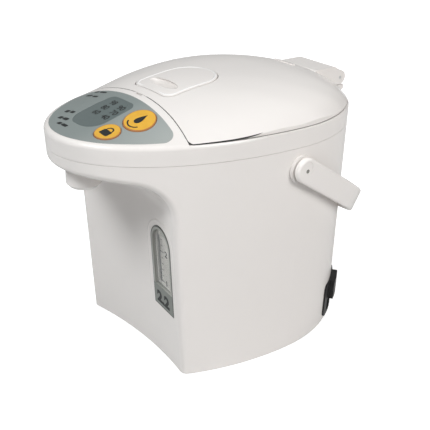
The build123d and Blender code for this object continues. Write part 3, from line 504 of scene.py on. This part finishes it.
def bead(name, path, width, height, node, finish, body):
    """A low rounded bead that follows a closed path drawn in plan over a solid.

    Across the path it runs from -width / 2 to width / 2, and it stands height * sin(pi * v) above
    the solid, v from 0 to 1, but never above the whole pot.
    """
    path = np.asarray(path)
    along = np.roll(path, -1, axis=0) - np.roll(path, 1, axis=0)
    along /= np.linalg.norm(along, axis=1)[:, None]
    side = np.column_stack([-along[:, 1], along[:, 0]])
    rows = []
    for v in np.linspace(0, 1, 7):
        flat = path + side * width * (v - 0.5)
        row = laid_on((node,), flat, height * sin(pi * v) - 0.00004)
        row[:, 2] = np.minimum(row[:, 2], cad_top - 0.00001)
        rows.append(np.vstack([row, row[:1]]))
    add_piece(name, np.vstack(rows), grid_faces(7, len(path) + 1), finish, body)


def corner(centre, radius, start, stop, count=12):
    """Points of a corner's arc, its angles in degrees."""
    t = np.radians(np.linspace(start, stop, count))
    return np.column_stack([centre[0] + radius * np.cos(t), centre[1] + radius * np.sin(t)])


def rim_of_lever(inset):
    """The lever's outline in plan, drawn inside its edge, in millimetres until the last line.

    Its front and sides are straight, and its back is an arc from one side to the other.
    """
    half, front, back, turn = 25.0 - inset, -85.0 + inset, -22.6 - inset, 9.0 - inset
    arc_foot, side_end = -44.0, -45.0
    rise = back - arc_foot
    bow_radius = (half ** 2 + rise ** 2) / (2 * rise)
    reach = degrees(asin(half / bow_radius))
    round_back = corner((0, back - bow_radius), bow_radius, 90 - reach, 90 + reach, 40)[1:-1]
    pieces = [
        corner((half - turn, front + turn), turn, -90, 0),
        np.column_stack([np.full(16, half), np.linspace(front + turn, side_end, 18)[1:-1]]),
        round_back,
        np.column_stack([np.full(16, -half), np.linspace(side_end, front + turn, 18)[1:-1]]),
        corner((-half + turn, front + turn), turn, 180, 270),
    ]
    return np.vstack(pieces) * MM + np.array((0, SHIFT))


# The lever's rim bead wears the painted highlight white along its edge.
bead("lever_rim", rim_of_lever(1.9), 0.0020, 0.00042, "lid_lever", highlight_white, "lever")


def edge_in_plan(node, middle, turns, floor):
    """A solid's outline seen from above, found on each ray from the middle by halving the step."""
    tree = tree_of(node)
    points = []
    for turn in turns:
        near, far = 0.03, 0.16
        for _ in range(16):
            reach = (near + far) / 2
            x, y = middle[0] + reach * cos(turn), middle[1] + reach * sin(turn)
            hit = tree.ray_cast(Vector((x, y, ABOVE)), Vector((0, 0, -1)))[0]
            near, far = (reach, far) if hit and hit.z > floor else (near, reach)
        points.append((middle[0] + near * cos(turn), middle[1] + near * sin(turn)))
    return np.array(points)


def gap_shade_strip(name, turns, width, depth):
    """A dark strip of painted shade down in the gap before the lid: a ribbon beside the lid's outline
    that narrows at its ends.

    Across, its height goes evenly from the lid's surface to the frame's, less depth, and its
    middle stands a little higher.
    """
    inside, outside, deepest, overlap, crest = 0.0007, 0.0013, 0.0012, 0.0002, 0.00006
    path = edge_in_plan("lid_cover", (0.0, -0.02 + SHIFT), turns, 0.2)
    along = np.gradient(path, axis=0)
    along /= np.linalg.norm(along, axis=1)[:, None]
    side = np.column_stack([along[:, 1], -along[:, 0]])
    share = np.linspace(-1, 1, len(path))
    wide = width * (1 - share ** 10)[:, None]
    inner = laid_on(("lid_cover",), path - side * inside, 0.0)[:, 2]
    outer = laid_on(("top_frame",), path + side * outside, 0.0)[:, 2]
    outer = np.maximum(outer, inner - deepest)
    rows = []
    for v, lift in ((0.0, 0.0), (0.5, crest), (1.0, 0.0)):
        away = wide * v - overlap
        level = inner + (outer - inner) * (away[:, 0] + inside) / (inside + outside)
        rows.append(np.column_stack([path + side * away, level - depth + lift]))
    add_piece(name, np.vstack(rows), grid_faces(3, len(path)), gap_shade_finish, "pot")


# Two strips of painted shade down in the gap before the lid.
gap_shade_strip("lid_gap_shade_left", np.radians(np.linspace(222, 264.5, 90)), 0.0012, 0.00010)
gap_shade_strip("lid_gap_shade_right", np.radians(np.linspace(275.5, 346, 150)), 0.0012, 0.00010)

arch = np.linspace(0, pi, 40)
half, top, foot = 0.0212, 0.0225, -0.030
path = np.vstack([
    np.column_stack([np.full(20, half), np.linspace(foot, top, 20, endpoint=False)]),
    np.column_stack([half * np.cos(arch), top + half * np.sin(arch)]),
    np.column_stack([np.full(20, -half), np.linspace(top, foot, 21)[1:]]),
])
raised_line("gauge_surround", path, 0.0022, 0.00035, "body_shell", white)


# ------------------------------------------------------------------ floor, light and camera
def swept_sheet(name, half, rise):
    """A floor that sweeps up into a low wall at its far edges: height = rise * (r / half) ** 8."""
    count = 41
    u, v = np.meshgrid(*[np.linspace(-half, half, count)] * 2, indexing="ij")
    height = rise * (np.hypot(u, v) / (half * 1.42)) ** 8
    mesh = bpy.data.meshes.new(name)
    points = np.column_stack([u.ravel(), v.ravel(), height.ravel()])
    mesh.from_pydata(points.tolist(), [], grid_faces(count, count).tolist())
    mesh.materials.append(pale.material)
    thing = bpy.data.objects.new(name, mesh)
    scene.collection.objects.link(thing)
    return thing


# How much of the white backdrop each kind of ray sees.
backdrop_shares = (("Is Camera Ray", 1.0), ("Is Glossy Ray", 0.28), ("Is Transmission Ray", 1.0))

pale = Finish("pale_floor", (0.80, 0.80, 0.80), 0.7)
pale.set("Base Color", pale.mix(pale.noise(3.0), (0.60, 0.60, 0.60), (0.64, 0.64, 0.64)))
shown = 0.0
for kind, share in backdrop_shares:
    ray = pale.node("ShaderNodeLightPath", out=kind)
    shown = pale.node("ShaderNodeMath", {"operation": "MAXIMUM"}, {0: ray * share, 1: shown})
x, y, z = pale.axes()
product = {"operation": "MULTIPLY", "use_clamp": True}
distant = pale.node("ShaderNodeMath", product, {0: x ** 2 + y ** 2 - 0.8, 1: 0.5})
glow = pale.mix(distant, (0.74, 0.74, 0.74), (1.0, 1.0, 1.0))
pale.set("Emission Color", pale.mix(shown, (0.0, 0.0, 0.0), glow))
pale.surface.inputs["Emission Strength"].default_value = 1.0
swept_sheet("floor", 4.0, 0.5)

world = bpy.data.worlds.new("studio")
scene.world = world
world.use_nodes = True
sky = world.node_tree
lit = sky.nodes["Background"]
lit.inputs["Color"].default_value = (1.0, 0.99, 0.98, 1.0)
lit.inputs["Strength"].default_value = 0.10
bare = sky.nodes.new("ShaderNodeBackground")
bare.inputs["Color"].default_value = (1.0, 1.0, 1.0, 1.0)
bare.inputs["Strength"].default_value = 1.0
ray = sky.nodes.new("ShaderNodeLightPath")
blend = sky.nodes.new("ShaderNodeMixShader")
seen = ray.outputs["Is Camera Ray"]
for kind, share in backdrop_shares[1:]:
    part = sky.nodes.new("ShaderNodeMath")
    part.operation = "MULTIPLY"
    part.inputs[1].default_value = share
    sky.links.new(ray.outputs[kind], part.inputs[0])
    more = sky.nodes.new("ShaderNodeMath")
    more.operation = "MAXIMUM"
    sky.links.new(seen, more.inputs[0])
    sky.links.new(part.outputs[0], more.inputs[1])
    seen = more.outputs[0]
sky.links.new(seen, blend.inputs[0])
sky.links.new(lit.outputs[0], blend.inputs[1])
sky.links.new(bare.outputs[0], blend.inputs[2])
sky.links.new(blend.outputs[0], sky.nodes["World Output"].inputs[0])


def lamp(name, place, target, size, power, tint=(1.0, 1.0, 1.0), in_gloss=True):
    """A square soft light that faces its target, and that shows in glossy surfaces or doesn't."""
    data = bpy.data.lights.new(name, "AREA")
    data.color = tint
    data.size = size
    data.energy = power
    thing = bpy.data.objects.new(name, data)
    thing.location = place
    thing.visible_glossy = in_gloss
    aim = Vector(target) - Vector(place)
    thing.rotation_euler = aim.to_track_quat("-Z", "Y").to_euler()
    scene.collection.objects.link(thing)


lamp("key_light", (1.60, 0.35, 1.10), (0, 0, 0.12), 0.9, 20.5)
lamp("front_light", (0.10, -1.36, 1.68), (0, 0, 0.16), 0.7, 31.0, (0.95, 0.98, 1.0))
lamp("top_light", (0.50, 0.00, 2.00), (0, 0, 0.16), 0.8, 2.6)
lamp("back_light", (-1.10, 1.20, 0.30), (0, 0, 0.10), 0.8, 7.0, in_gloss=False)

turn, rise, roll = radians(50.458), radians(24.853), radians(2.092)
back = Vector((sin(turn) * cos(rise), -cos(turn) * cos(rise), sin(rise)))
right = Vector((cos(turn), sin(turn), 0.0))
above = back.cross(right)
right, above = cos(roll) * right + sin(roll) * above, cos(roll) * above - sin(roll) * right
camera_data = bpy.data.cameras.new("camera")
sensor, picture, focal_pixels = 36.0, 430.0, 834.567
camera_data.sensor_width = sensor
camera_data.lens = focal_pixels * sensor / picture
camera = bpy.data.objects.new("camera", camera_data)
stand = Matrix((right, above, back)).transposed().to_4x4()
stand.translation = (0.53172, -0.45136 + SHIFT, 0.41808)
camera.matrix_world = stand
scene.collection.objects.link(camera)
scene.camera = camera

scene.view_settings.view_transform = "Standard"
